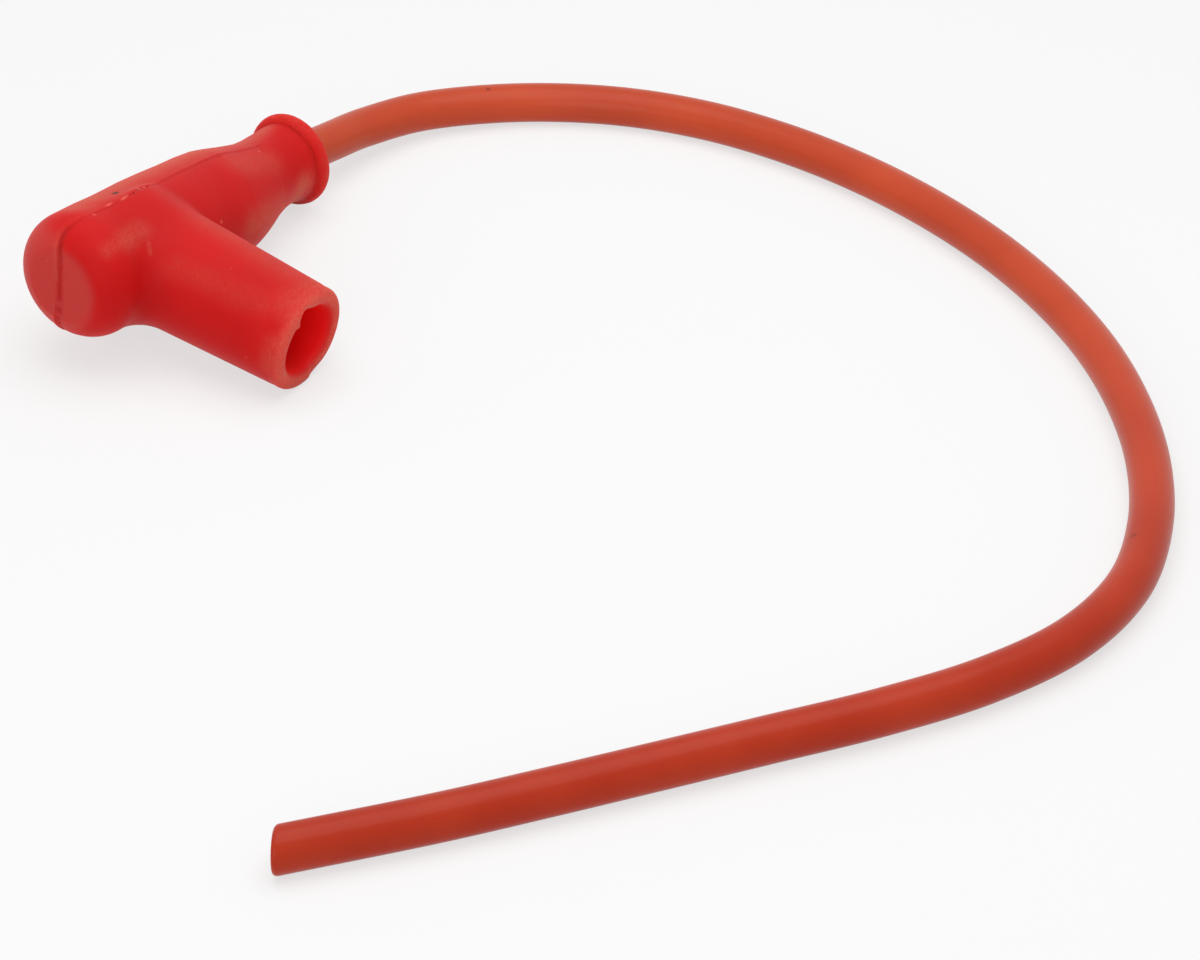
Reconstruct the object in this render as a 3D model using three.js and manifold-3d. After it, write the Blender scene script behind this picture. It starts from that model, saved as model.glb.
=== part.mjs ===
// Spark plug wire: a right-angle silicone boot on a high-tension lead with a bare cut end.
//
// Millimetres, +Z up, lying on the plane z = 0. The boot is drawn straight first: its body runs along
// +X towards the lead, its socket points along -Y, and the two axes cross at the boot's own origin.
// The finished boot is then dipped at both ends, because the stiff lead holds its knob off the table.
import * as THREE from 'three';
import { mergeVertices } from 'three/addons/utils/BufferGeometryUtils.js';
import Module from 'manifold-3d';

// Boot body, measured along X from the crossing of the two axes
const bodyRadius = 10.5;
const knobReach = 18.5;
const knobEdgeRadius = 6;
const shoulderRadius = 9.7;
const shoulderReach = 22;
const waistRadius = 6.7;
const waistEase = 6.5;
const waistRise = 0.72;
const neckReach = 48.7;
const neckLand = 10.2;
const beadRadius = 8.4;
const beadHalfWidth = 1.6;
const beadRoundFrom = 165;
const beadFillet = 1;
const neckFlare = 0.35;

// Socket that goes over the spark plug, measured along -Y from the crossing
const socketReach = 36.3;
const socketRootRadius = 10.2;
const mouthRadius = 9;
const mouthEdge = 1.2;
const socketBoreRadius = 6.3;
const socketBoreDepth = 22.3;
const chamberRadius = 5.7;
const chamberBack = 5.2;

// Parting ridge round the knob and body, in the plane of the body's axis and the vertical
const ridgeProud = 0.35;
const ridgeWidth = 0.7;

// High-tension lead: a jacket round a conductor
const leadRadius = 3.5;
const leadBoreRadius = 1.2;
const leadInside = 24;
const leadStraight = 11;
const leadPull = 0.8;
const leadCutTurn = 20;
const coreRadius = 0.8;
const coreBare = 12;
const fit = 0.3;

// Plug terminal: one stamping with a split barrel, a tongue, and a crimp each for conductor and jacket
const terminalBore = 3.25;
const terminalWall = 0.8;
const terminalTop = 3.5;
const terminalReach = 12;
const terminalSlit = 1.2;
const crimpWall = 0.7;
const crimpLength = 6;
const crimpSlit = 1.4;
const coreCrimpWall = 0.6;
const coreCrimpLength = 5;
const coreCrimpInset = 4;
const tongueWidth = 5;
const webWidth = 2;

// Snap ring round the terminal's barrel
const ringWire = 0.5;
const ringStation = 7.5;
const ringOpening = 50;

// How the boot lies, in degrees: the body dips towards the lead and the socket towards its mouth
const bodyDip = 7.7;
const socketRoll = 10.1;

// Route of the lead's centre along the table, from where it lands to its cut end
const leadOnTable = [
  [54, 11.2, 5.5],
  [66.1, 6.2, 4.3],
  [77.7, -5.7, 3.6],
  [85.3, -20.9, 3.5],
  [88.7, -37.2, 3.5],
  [88.4, -54, 3.5],
  [85.4, -70.7, 3.5],
  [80.1, -87, 3.5],
  [72.8, -102.5, 3.5],
  [63.6, -116.9, 3.5],
  [52.7, -129.9, 3.5],
  [40, -141.2, 3.5],
  [25.9, -150.6, 3.5],
  [10.4, -157.6, 3.5],
  [-6, -161.2, 3.5],
  [-22.5, -159.5, 3.5],
  [-38, -152.8, 3.5],
  [-52.3, -143.1, 3.5],
  [-65.7, -132.3, 3.5],
  [-78.8, -121.7, 3.5],
  [-91.8, -111.1, 3.5],
  [-104.8, -100.2, 3.5],
  [-121.3, -85.2, 3.5],
];

// Facets
const bootSides = 44;
const metalSides = 32;
const leadSides = 10;
const wireSides = 8;
const leadSteps = 78;
const arcSteps = 8;
const pastFace = 1;
const sameCorner = 1e-4;

const wasm = await Module();
wasm.setup();

const vec = (x, y) => new THREE.Vector2(x, y);

// A closed three.js geometry as a solid: shared corners are merged and collapsed facets at poles dropped
const solidOf = (geometry) => {
  const bare = geometry.clone();
  bare.deleteAttribute('normal');
  bare.deleteAttribute('uv');
  const merged = mergeVertices(bare, sameCorner);
  const corners = merged.index.array;
  const facets = [];
  for (let i = 0; i < corners.length; i += 3) {
    const [a, b, c] = [corners[i], corners[i + 1], corners[i + 2]];
    if (a !== b && b !== c && c !== a) facets.push(a, b, c);
  }
  return new wasm.Manifold(new wasm.Mesh({
    numProp: 3,
    vertProperties: new Float32Array(merged.attributes.position.array),
    triVerts: new Uint32Array(facets),
  }));
};

const geometryOf = (solid) => {
  const mesh = solid.getMesh();
  const geometry = new THREE.BufferGeometry();
  geometry.setAttribute('position', new THREE.BufferAttribute(new Float32Array(mesh.vertProperties), 3));
  geometry.setIndex(new THREE.BufferAttribute(new Uint32Array(mesh.triVerts), 1));
  geometry.computeVertexNormals();
  return geometry;
};

// Solids of revolution from [station, radius] points in order of rising station
const revolveX = (profile, sides) => {
  const points = profile.map(([station, radius]) => vec(radius, station));
  return solidOf(new THREE.LatheGeometry(points, sides).rotateZ(-Math.PI / 2));
};

const revolveSocket = (profile, sides) => {
  const points = profile.map(([station, radius]) => vec(radius, station));
  return solidOf(new THREE.LatheGeometry(points, sides).rotateX(Math.PI));
};

const rod = (from, to, radius) => [[from, 0], [from, radius], [to, radius], [to, 0]];

const tube = (from, to, inner, outer) => [
  [from, inner], [from, outer], [to, outer], [to, inner], [from, inner],
];

const block = (x0, x1, y0, y1, z0, z1) => {
  const geometry = new THREE.BoxGeometry(x1 - x0, y1 - y0, z1 - z0);
  geometry.translate((x0 + x1) / 2, (y0 + y1) / 2, (z0 + z1) / 2);
  return solidOf(geometry);
};

// Points of a rounded edge, as [station, radius], between two angles in degrees
const arc = (station, radius, size, from, to) => {
  const points = [];
  for (let i = 0; i <= arcSteps; i += 1) {
    const angle = THREE.MathUtils.degToRad(from + ((to - from) * i) / arcSteps);
    points.push([station + size * Math.cos(angle), radius + size * Math.sin(angle)]);
  }
  return points;
};

// Corners of a regular section, on a circle
const ringPoints = (radius, sides) => {
  const points = [];
  for (let i = 0; i < sides; i += 1) {
    const angle = (2 * Math.PI * i) / sides;
    points.push(vec(radius * Math.cos(angle), radius * Math.sin(angle)));
  }
  return points;
};

const waistReach = neckReach - neckLand;

// Outline of the body from the knob's flat end to the face of the rolled bead at the neck
const bodyOutline = () => {
  const knobEdge = arc(knobEdgeRadius - knobReach, bodyRadius - knobEdgeRadius, knobEdgeRadius, 180, 90);
  const taper = new THREE.QuadraticBezierCurve(
    vec(shoulderReach, shoulderRadius),
    vec(waistReach - waistEase, waistRadius + waistRise),
    vec(waistReach, waistRadius),
  ).getPoints(arcSteps).map(({ x, y }) => [x, y]);
  const beadStation = neckReach - beadHalfWidth;
  const bead = arc(beadStation, beadRadius - beadHalfWidth, beadHalfWidth, beadRoundFrom, 0);
  const neck = [beadStation - beadHalfWidth - beadFillet, waistRadius + neckFlare];
  return [[-knobReach, 0], ...knobEdge, [0, bodyRadius], ...taper, neck, ...bead, [neckReach, 0]];
};

const socketOutline = () => [
  [0, 0],
  [0, socketRootRadius],
  ...arc(socketReach - mouthEdge, mouthRadius - mouthEdge, mouthEdge, 90, 0),
  [socketReach, 0],
];

// Parting ridge: the body's own outline grown by the ridge's height and cut to its width
const partingRidge = () => {
  const side = bodyOutline()
    .filter(([station, radius]) => radius > 0 && station <= waistReach)
    .map(([station, radius]) => [station < knobEdgeRadius - knobReach ? station - ridgeProud : station,
      radius + ridgeProud]);
  const upper = side.map(([x, z]) => vec(x, z));
  const lower = side.map(([x, z]) => vec(x, -z)).reverse();
  const plate = new THREE.ExtrudeGeometry(new THREE.Shape([...upper, ...lower]), {
    depth: ridgeWidth,
    bevelEnabled: false,
  });
  plate.translate(0, 0, -ridgeWidth / 2).rotateX(Math.PI / 2);
  return solidOf(plate);
};

const crimpStart = neckReach - leadInside;
const crimpOuter = leadRadius + fit + crimpWall;

// Everything hollow in the boot: plug socket, terminal chamber, crimp chamber and the lead's bore
const bootHollow = () => {
  const mouthBore = rod(socketReach - socketBoreDepth, socketReach + pastFace, socketBoreRadius);
  const chamber = rod(-chamberBack, socketReach - socketBoreDepth + pastFace, chamberRadius);
  const crimpChamber = rod(0, crimpStart + crimpLength + fit, crimpOuter + fit);
  const leadBore = rod(crimpStart, neckReach + pastFace, leadRadius + fit);
  return revolveSocket(mouthBore, bootSides)
    .add(revolveSocket(chamber, bootSides))
    .add(revolveX(crimpChamber, bootSides))
    .add(revolveX(leadBore, bootSides));
};

const makeBoot = () => revolveX(bodyOutline(), bootSides)
  .add(revolveSocket(socketOutline(), bootSides))
  .add(partingRidge())
  .subtract(bootHollow());

// The terminal's barrel is split along its far side so that it can spring over the plug's tip
const makeTerminal = () => {
  const outer = terminalBore + terminalWall;
  const barrel = revolveSocket(tube(-terminalTop, terminalReach, terminalBore, outer), metalSides)
    .subtract(block(-outer - fit, 0, -terminalReach - fit, terminalTop + fit, -terminalSlit / 2,
      terminalSlit / 2));
  const crimpEnd = crimpStart + crimpLength;
  const jacketCrimp = revolveX(tube(crimpStart, crimpEnd, leadRadius + fit, crimpOuter), metalSides)
    .subtract(block(crimpStart - fit, crimpEnd + fit, -crimpSlit / 2, crimpSlit / 2, 0, crimpOuter + fit));
  const tongue = revolveX(tube(0, crimpEnd, leadRadius + fit, crimpOuter), metalSides)
    .intersect(block(-fit, crimpEnd + fit, -tongueWidth / 2, tongueWidth / 2, -crimpOuter - fit, 0));
  const coreOuter = coreRadius + fit + coreCrimpWall;
  const coreEnd = crimpStart - coreCrimpInset;
  const coreFrom = coreEnd - coreCrimpLength;
  const coreCrimp = revolveX(tube(coreFrom, coreEnd, coreRadius + fit, coreOuter), metalSides);
  const web = block(coreFrom, coreEnd, -webWidth / 2, webWidth / 2, -leadRadius - fit - crimpWall / 2,
    -coreRadius - fit - coreCrimpWall / 2);
  return barrel.add(tongue).add(jacketCrimp).add(web).add(coreCrimp);
};

const makeSnapRing = () => {
  const radius = terminalBore + terminalWall + fit + ringWire;
  const points = [];
  for (let i = 0; i <= metalSides; i += 1) {
    const angle = THREE.MathUtils.degToRad(180 + ringOpening / 2 + ((360 - ringOpening) * i) / metalSides);
    points.push(new THREE.Vector3(radius * Math.cos(angle), -ringStation, radius * Math.sin(angle)));
  }
  return solidOf(new THREE.ExtrudeGeometry(new THREE.Shape(ringPoints(ringWire, wireSides)), {
    steps: metalSides,
    bevelEnabled: false,
    extrudePath: new THREE.CatmullRomCurve3(points),
  }));
};

const leadSection = () => {
  const section = new THREE.Shape(ringPoints(leadRadius, leadSides));
  section.holes.push(new THREE.Path(ringPoints(leadBoreRadius, leadSides)));
  return section;
};

const coreSection = () => new THREE.Shape(ringPoints(coreRadius, wireSides));

const sweep = (section, route) => solidOf(new THREE.ExtrudeGeometry(section, {
  steps: leadSteps,
  bevelEnabled: false,
  extrudePath: new THREE.CatmullRomCurve3(route),
}));

const boot = new THREE.MeshStandardMaterial({ color: 0xc82828, roughness: 0.55, metalness: 0 });
const jacket = new THREE.MeshStandardMaterial({ color: 0xc9502f, roughness: 0.5, metalness: 0 });
const steel = new THREE.MeshStandardMaterial({ color: 0xb9babb, roughness: 0.35, metalness: 1 });
const copper = new THREE.MeshStandardMaterial({ color: 0xc9a58c, roughness: 0.4, metalness: 1 });

const named = (name, solid, material) => {
  const mesh = new THREE.Mesh(geometryOf(solid), material);
  mesh.name = name;
  return mesh;
};

// The dipped assembly, moved so that its box stands centred on the origin with its lowest point at z = 0
const makeAssembly = () => {
  const group = new THREE.Group();
  group.add(named('boot', makeBoot(), boot));
  group.add(named('plug_terminal', makeTerminal(), steel));
  group.add(named('snap_ring', makeSnapRing(), steel));
  group.rotation.set(
    THREE.MathUtils.degToRad(socketRoll),
    THREE.MathUtils.degToRad(bodyDip),
    0,
    'YXZ',
  );
  group.updateMatrixWorld(true);
  const box = new THREE.Box3().setFromObject(group, true);
  group.position.set(-(box.min.x + box.max.x) / 2, -(box.min.y + box.max.y) / 2, -box.min.z);
  group.updateMatrixWorld(true);
  return group;
};

// The lead's centre: straight inside the neck, drawn a little aside past it, then down to the table and round
const leadRoute = (assembly) => {
  const places = [
    [crimpStart, 0],
    [(crimpStart + neckReach) / 2, 0],
    [neckReach, 0],
    [neckReach + leadStraight, -leadPull],
  ];
  const held = places.map(([x, y]) => assembly.localToWorld(new THREE.Vector3(x, y, 0)));
  return [...held, ...leadOnTable.map(([x, y, z]) => new THREE.Vector3(x, y, z))];
};

// The lead is drawn past its end and then cut there, a few degrees off square
const cutLead = (section, points) => {
  const [before, end] = points.slice(-2);
  const heading = new THREE.Vector3().subVectors(end, before).setZ(0).normalize();
  const past = end.clone().addScaledVector(heading, 2 * leadRadius);
  const turn = THREE.MathUtils.degToRad(-leadCutTurn);
  const away = heading.clone().applyAxisAngle(new THREE.Vector3(0, 0, 1), turn);
  const cutter = new THREE.BoxGeometry(4 * leadRadius, 4 * leadRadius, 4 * leadRadius);
  cutter.rotateZ(Math.atan2(away.y, away.x));
  cutter.translate(...end.clone().addScaledVector(away, 2 * leadRadius).toArray());
  return sweep(section, [...points, past]).subtract(solidOf(cutter));
};

const assembly = makeAssembly();
const route = leadRoute(assembly);
const coreStart = assembly.localToWorld(new THREE.Vector3(crimpStart - coreBare, 0, 0));

const part = new THREE.Group();
part.add(assembly);
part.add(named('lead_jacket', cutLead(leadSection(), route), jacket));
part.add(named('lead_conductor', cutLead(coreSection(), [coreStart, ...route]), copper));

export default part;
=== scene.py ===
"""A spark plug wire: red silicone right-angle boot on an orange high-tension lead, on a white table."""
import math

import bmesh
import bpy
import numpy as np
from mathutils import Euler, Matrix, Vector


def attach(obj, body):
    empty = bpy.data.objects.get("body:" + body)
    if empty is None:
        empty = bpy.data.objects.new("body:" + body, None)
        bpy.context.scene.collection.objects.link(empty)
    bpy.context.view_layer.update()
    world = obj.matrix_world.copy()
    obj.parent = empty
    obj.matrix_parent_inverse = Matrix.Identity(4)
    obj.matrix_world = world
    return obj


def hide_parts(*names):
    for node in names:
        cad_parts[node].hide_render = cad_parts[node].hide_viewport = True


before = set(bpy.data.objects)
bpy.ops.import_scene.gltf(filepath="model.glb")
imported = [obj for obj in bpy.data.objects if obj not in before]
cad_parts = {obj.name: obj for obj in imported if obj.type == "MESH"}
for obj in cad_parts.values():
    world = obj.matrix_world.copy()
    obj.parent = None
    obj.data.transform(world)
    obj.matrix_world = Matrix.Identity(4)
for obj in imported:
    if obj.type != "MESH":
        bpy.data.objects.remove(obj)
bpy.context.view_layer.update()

MM = 0.001

# Camera: a long lens, level from side to side, that looks down on the table
CAMERA_PLACE = Vector((-0.4667, -0.3342, 0.3486))
CAMERA_HEADING = math.radians(29.79)
CAMERA_PITCH = math.radians(33.88)
PHOTO_WIDTH = 1200
FOCAL_PIXELS = 4000
SENSOR_WIDTH = 36.0

# The lead's centre, from inside the neck to the cut end
LEAD_DIAMETER = 7.0 * MM
LEAD_BORE = 2.4 * MM
LEAD_ROUTE = [
    (0.00958, 0.01332, 0.01167),
    (0.02147, 0.01332, 0.01006),
    (0.03336, 0.01332, 0.00846),
    (0.04426, 0.01253, 0.00684),
    (0.054, 0.0112, 0.0055),
    (0.0661, 0.0062, 0.0043),
    (0.0777, -0.0057, 0.0036),
    (0.0853, -0.0209, 0.0035),
    (0.0887, -0.0372, 0.0035),
    (0.0884, -0.054, 0.0035),
    (0.0854, -0.0707, 0.0035),
    (0.0801, -0.087, 0.0035),
    (0.0728, -0.1025, 0.0035),
    (0.0636, -0.1169, 0.0035),
    (0.0527, -0.1299, 0.0035),
    (0.04, -0.1412, 0.0035),
    (0.0259, -0.1506, 0.0035),
    (0.0104, -0.1576, 0.0035),
    (-0.006, -0.1612, 0.0035),
    (-0.0225, -0.1595, 0.0035),
    (-0.038, -0.1528, 0.0035),
    (-0.0523, -0.1431, 0.0035),
    (-0.0657, -0.1323, 0.0035),
    (-0.0788, -0.1217, 0.0035),
    (-0.0918, -0.1111, 0.0035),
    (-0.1048, -0.1002, 0.0035),
    (-0.1213, -0.0852, 0.0035),
]


def make_camera():
    data = bpy.data.cameras.new("photo_camera")
    data.sensor_width = SENSOR_WIDTH
    data.lens = SENSOR_WIDTH * FOCAL_PIXELS / PHOTO_WIDTH
    data.clip_start = 0.01
    camera = bpy.data.objects.new("photo_camera", data)
    camera.location = CAMERA_PLACE
    turn = CAMERA_HEADING - math.pi / 2
    camera.rotation_euler = Euler((math.pi / 2 - CAMERA_PITCH, 0, turn))
    bpy.context.scene.collection.objects.link(camera)
    bpy.context.scene.camera = camera


make_camera()


# Curves and tubes


def smooth_route(points, spacing):
    """Points along a smooth curve through the given ones, about a spacing apart."""
    knots = np.array(points)
    first = 2 * knots[0] - knots[1]
    last = 2 * knots[-1] - knots[-2]
    knots = np.vstack([first, knots, last])
    path = []
    for i in range(1, len(knots) - 2):
        before, start, end, after = knots[i - 1:i + 3]
        count = max(1, round(np.linalg.norm(end - start) / spacing))
        for t in np.arange(count) / count:
            path.append(0.5 * (2 * start + (end - before) * t
                               + (2 * before - 5 * start + 4 * end - after) * t ** 2
                               + (3 * start - before - 3 * end + after) * t ** 3))
    path.append(knots[-2])
    return np.array(path)


def cross_directions(path):
    """Two directions across the path at each point, carried along without twist."""
    tangents = np.gradient(path, axis=0)
    tangents /= np.linalg.norm(tangents, axis=1)[:, None]
    side = np.cross(tangents[0], (0, 0, 1))
    side /= np.linalg.norm(side)
    sides = []
    for tangent in tangents:
        side = side - tangent * (side @ tangent)
        side /= np.linalg.norm(side)
        sides.append(side)
    sides = np.array(sides)
    return sides, np.cross(tangents, sides)


# Meshes


def set_material(mesh, material):
    mesh.materials.clear()
    mesh.materials.append(material)
    mesh.polygons.foreach_set("use_smooth", [True] * len(mesh.polygons))


def new_object(name, mesh, material):
    thing = bpy.data.objects.new(name, mesh)
    bpy.context.scene.collection.objects.link(thing)
    set_material(mesh, material)
    return thing


def finished_mesh(thing):
    """The mesh that an object has once its modifiers are applied."""
    bpy.context.view_layer.update()
    graph = bpy.context.evaluated_depsgraph_get()
    return bpy.data.meshes.new_from_object(thing.evaluated_get(graph))


def mesh_places(mesh):
    places = np.zeros(len(mesh.vertices) * 3)
    mesh.vertices.foreach_get("co", places)
    return places.reshape(-1, 3)


# The boot is a smooth solid, given by signed distances in its own straight frame in millimetres:
# x along the body towards the lead, y away from the plug socket, z up. The axes cross at the origin.
BOOT_CROSSING = np.array((-14.902, 13.315, 14.981))
BODY_DIP = math.radians(7.7)
SOCKET_ROLL = math.radians(10.1)
BODY_RADIUS = 10.5
KNOB_REACH = 18.5
KNOB_RADIUS = 10.75
KNOB_EDGE = 6.0
KNOB_FACE_RADIUS = 6.6
NECK_REACH = 48.7
WAIST_REACH = 38.5
WAIST_RADIUS = 6.7
BEAD_RADIUS = 8.4
BEAD_HALF_WIDTH = 1.6
SOCKET_REACH = 36.3
SOCKET_ROOT_RADIUS = 10.2
MOUTH_RADIUS = 8.95
MOUTH_EDGE = 1.2
SOCKET_BORE = 6.3
SOCKET_BORE_START = 14.0
CHAMBER_RADIUS = 5.7
CHAMBER_BACK = 5.2
CRIMP_CHAMBER = 4.8
CRIMP_CHAMBER_END = 31.0
LEAD_SEAT = 3.62

# Hollows run this far into each other, and marks keep this far off the inner walls
JOIN_OVERLAP = 1.0
WALL_MARGIN = 1.0

# How softly surfaces run into each other
SOFT_BLEND = 3.6
SHARP_BLEND = 0.9
SOFT_SIDE_END = 3.0
SOFT_SIDE_FADE = 1.5
HOLLOW_BLEND = 0.5
BORE_EDGE_BLEND = 1.5
BORE_EDGE_DEPTH = 4.0
BORE_EDGE_FADE = 0.5

# How fine the skin's mesh is, and the share of its faces that is kept when the hidden walls are thinned
BOOT_VOXEL = 0.3 * MM
KEPT_SHARE = 0.73


def boot_turn():
    cos_dip, sin_dip = math.cos(BODY_DIP), math.sin(BODY_DIP)
    cos_roll, sin_roll = math.cos(SOCKET_ROLL), math.sin(SOCKET_ROLL)
    dip = np.array(((cos_dip, 0, sin_dip), (0, 1, 0), (-sin_dip, 0, cos_dip)))
    roll = np.array(((1, 0, 0), (0, cos_roll, -sin_roll), (0, sin_roll, cos_roll)))
    return dip @ roll


def to_boot(points):
    return (np.asarray(points) / MM - BOOT_CROSSING) @ boot_turn()


def from_boot(points):
    return (np.asarray(points) @ boot_turn().T + BOOT_CROSSING) * MM


def rounded(station, radius, size, start, end, steps=10):
    angles = np.radians(np.linspace(start, end, steps))
    return [(station + size * math.cos(a), radius + size * math.sin(a)) for a in angles]


# The body's side between the knob and the bead, as station and radius
BODY_SIDE = [
    (-7, 10.7), (-2, BODY_RADIUS), (5, 10.45), (10, 10.25), (15, 9.95), (20, 9.75), (23.5, 9.45), (26, 8.95),
    (29, 8.25), (32, 7.6), (35, 7.0), (WAIST_REACH, WAIST_RADIUS), (41, 6.72), (43, 6.85), (44.6, 7.1),
]
BEAD_ROUND_FROM = 170
MOUTH_ROUND_FROM = 88


def body_outline():
    """Half outline of the body, as (station, radius), from the knob to the face of the bead."""
    crease = math.asin((KNOB_FACE_RADIUS - KNOB_RADIUS + KNOB_EDGE) / KNOB_EDGE)
    knob_centre = KNOB_EDGE * math.cos(crease) - KNOB_REACH
    knob = rounded(knob_centre, KNOB_RADIUS - KNOB_EDGE, KNOB_EDGE, 180 - math.degrees(crease), 90)
    bead_station = NECK_REACH - BEAD_HALF_WIDTH
    bead = rounded(bead_station, BEAD_RADIUS - BEAD_HALF_WIDTH, BEAD_HALF_WIDTH, BEAD_ROUND_FROM, 0)
    return [(-KNOB_REACH, 0)] + knob + BODY_SIDE + bead + [(NECK_REACH, 0)]


def socket_outline():
    edge = rounded(SOCKET_REACH - MOUTH_EDGE, MOUTH_RADIUS - MOUTH_EDGE, MOUTH_EDGE, MOUTH_ROUND_FROM, 0)
    return [(0, 0), (0, SOCKET_ROOT_RADIUS)] + edge + [(SOCKET_REACH, 0)]


def turned_distance(outline, station, radius):
    """Signed distance from points to the solid that a half outline makes when it is turned."""
    best = np.full(len(station), 1e9)
    inside = np.zeros(len(station), bool)
    corners = outline + [outline[0]]
    for (x0, r0), (x1, r1) in zip(corners[:-1], corners[1:]):
        on_axis = r0 == 0 and r1 == 0
        dx, dr = x1 - x0, r1 - r0
        length = dx * dx + dr * dr
        if length == 0:
            continue
        t = np.clip(((station - x0) * dx + (radius - r0) * dr) / length, 0, 1)
        gap = np.hypot(station - x0 - t * dx, radius - r0 - t * dr)
        if not on_axis:
            best = np.minimum(best, gap)
        crosses = (r0 > radius) != (r1 > radius)
        if dr != 0:
            inside ^= crosses & (station < x0 + (radius - r0) * dx / dr)
    return np.where(inside, -best, best)


def smooth_least(a, b, blend):
    share = np.maximum(blend - np.abs(a - b), 0) / blend
    return np.minimum(a, b) - share * share * blend / 4


def bump_at(distance, width):
    return np.exp(-(distance / width) ** 2)


def soft_step(value, width):
    """0 well below zero, 1 well above it."""
    return 1 / (1 + np.exp(-np.clip(value / width, -50, 50)))


# The parting line wanders off the middle plane. Each entry is a place on the body's outline, how far the
# line lies to the side there, and how deep it is. Places run in degrees round the knob's end, and then in
# millimetres along the top.
PARTING_LINE = [
    (-90, 0.3, 1.0), (-66, 0.35, 1.0), (-37, 0.2, 1.0), (-13, 0.6, 1.0), (15, 1.0, 1.0), (36, 1.4, 1.0),
    (48, 1.8, 1.0), (59, 2.15, 0.9), (66, 2.0, 0.7), (72, 1.55, 0.5), (90, 0.6, 0.4), (99, 0.1, 0.6),
    (103, -0.25, 0.5), (112, 0.3, 0.6), (124, 0.3, 1.0), (138, -0.1, 0.7),
]
PARTING_END = 36.0
PARTING_EASE = (-5, -2.5, 0, 2.5, 5)

# Marks that the mould left, each as its offset from the line that it follows, its width and its height
BODY_RIDGE = (0.25, 0.3, 0.1)
BODY_GROOVE = (-0.2, 0.22, -0.16)
KNOB_RIDGE = (0.6, 0.4, 0.16)
KNOB_GROOVE = (-0.15, 0.5, -0.36)
KNOB_NIB = (-0.1, 0.45, 0.35)
NIB_DEPTH = 2.6
NIB_LENGTH = 0.9
MOUTH_LINE = (-2.3, 0.28, -0.09)
MARK_FADE = 0.6
KNOB_FACE_DEPTH = 3.2
AXIS_CLEARANCE = 3.0


def parting_line(x, y, z):
    """Distance to the side of the parting line, and its depth there."""
    knob_centre = KNOB_EDGE - KNOB_REACH
    beside_end = np.degrees(np.arctan2(z, np.maximum(knob_centre - x, 1e-6)))
    place = np.where(x < knob_centre, beside_end, np.sign(z) * (90 + x - knob_centre))
    places, drifts, depths = np.array(PARTING_LINE).T
    near = np.stack([np.interp(place + step, places, drifts) for step in PARTING_EASE])
    return y - near.mean(axis=0), np.interp(place, places, depths)


def mark_at(distance, mark):
    offset, width, height = mark
    return height * bump_at(distance - offset, width)


def on_knob_face(x):
    return soft_step(KNOB_FACE_DEPTH - KNOB_REACH - x, MARK_FADE)


def moulding_marks(x, y, z):
    """How far the skin stands proud of the plain form: parting ridge, knob groove, lip round the mouth."""
    side, depth = parting_line(x, y, z)
    on_body = depth * soft_step(PARTING_END - x, MARK_FADE)
    on_face = on_knob_face(x)
    ridge = (mark_at(side, BODY_RIDGE) + mark_at(side, BODY_GROOVE)) * on_body * (1 - on_face)
    groove = on_face * (mark_at(side, KNOB_RIDGE) + mark_at(side, KNOB_GROOVE))
    nib = mark_at(side, KNOB_NIB) * bump_at(x + KNOB_REACH - NIB_DEPTH, NIB_LENGTH) * (z < 0)
    mouth_line = mark_at(-y - SOCKET_REACH, MOUTH_LINE) * (np.hypot(x, z) > SOCKET_BORE + WALL_MARGIN)
    return (ridge + groove) * (np.hypot(y, z) > AXIS_CLEARANCE) + nib + mouth_line


# The neck is fuller on the socket's side, the knob's end and the socket's root sit a little high
WEB_PROUD = 1.3
WEB_STATION = 29.0
WEB_LENGTH = 8.5
WEB_DIRECTION = np.array((-0.76, -0.65))
KNOB_LIFT = 0.1
KNOB_LIFT_START = -9.0
ROOT_LIFT = 0.7
BEAD_LIFT = 0.5
LIFT_FADE = 2.0

# The knob's flat end leans back at its foot, and the bead's disc is turned up a little
KNOB_LEAN = 0.055
LEAN_TOP = 8.0
LEAN_START = -10.0
LEAN_FADE = 1.2
BEAD_TURN = math.tan(math.radians(8.4))
BEAD_START = 42.5
BEAD_FADE = 0.8

# The bead is a little oval, and sits towards the socket's side
BEAD_SHIFT = 0.3
BEAD_ACROSS = 0.94
BEAD_UPRIGHT = 1.03


def at_bead(x):
    return soft_step(x - BEAD_START, BEAD_FADE)


def leaned(x, z):
    """Stations along the body, with the knob's end and the bead in their slightly turned places."""
    at_knob = soft_step(LEAN_START - x, LEAN_FADE)
    return x - KNOB_LEAN * (LEAN_TOP - z) * at_knob + BEAD_TURN * (z - BEAD_LIFT) * at_bead(x)


def web_on_neck(x, y, z):
    """How much fuller the neck is towards the socket."""
    toward = (y * WEB_DIRECTION[0] + z * WEB_DIRECTION[1]) / np.maximum(np.hypot(y, z), 1e-6)
    return WEB_PROUD * bump_at(x - WEB_STATION, WEB_LENGTH) * np.maximum(toward, 0) ** 2


# The bore's edge is torn away in one place, with a tooth left beside it, and the rim is worn flat at its
# foot. Each is an angle round the mouth and a spread in degrees, and a depth in millimetres.
MOUTH_TEAR = (116, 13, 1.4)
MOUTH_TOOTH = (135.5, 4.5, 1.0)
RIM_WEAR = (-62, 15, 0.3)
RIM_WEAR_END = -73
RIM_WEAR_FADE = 1.2
MOUTH_WEAR_DEPTH = 1.4
BORE_LIP = 0.2


def around_mouth(x, z, spot):
    angle, spread, height = spot
    turn = np.degrees(np.arctan2(z, x)) - angle
    turn = (turn + 180) % 360 - 180
    return height * bump_at(turn, spread)


def rim_wear(x, z):
    angle = np.degrees(np.arctan2(z, x))
    return around_mouth(x, z, RIM_WEAR) * soft_step(angle - RIM_WEAR_END, RIM_WEAR_FADE)


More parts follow.
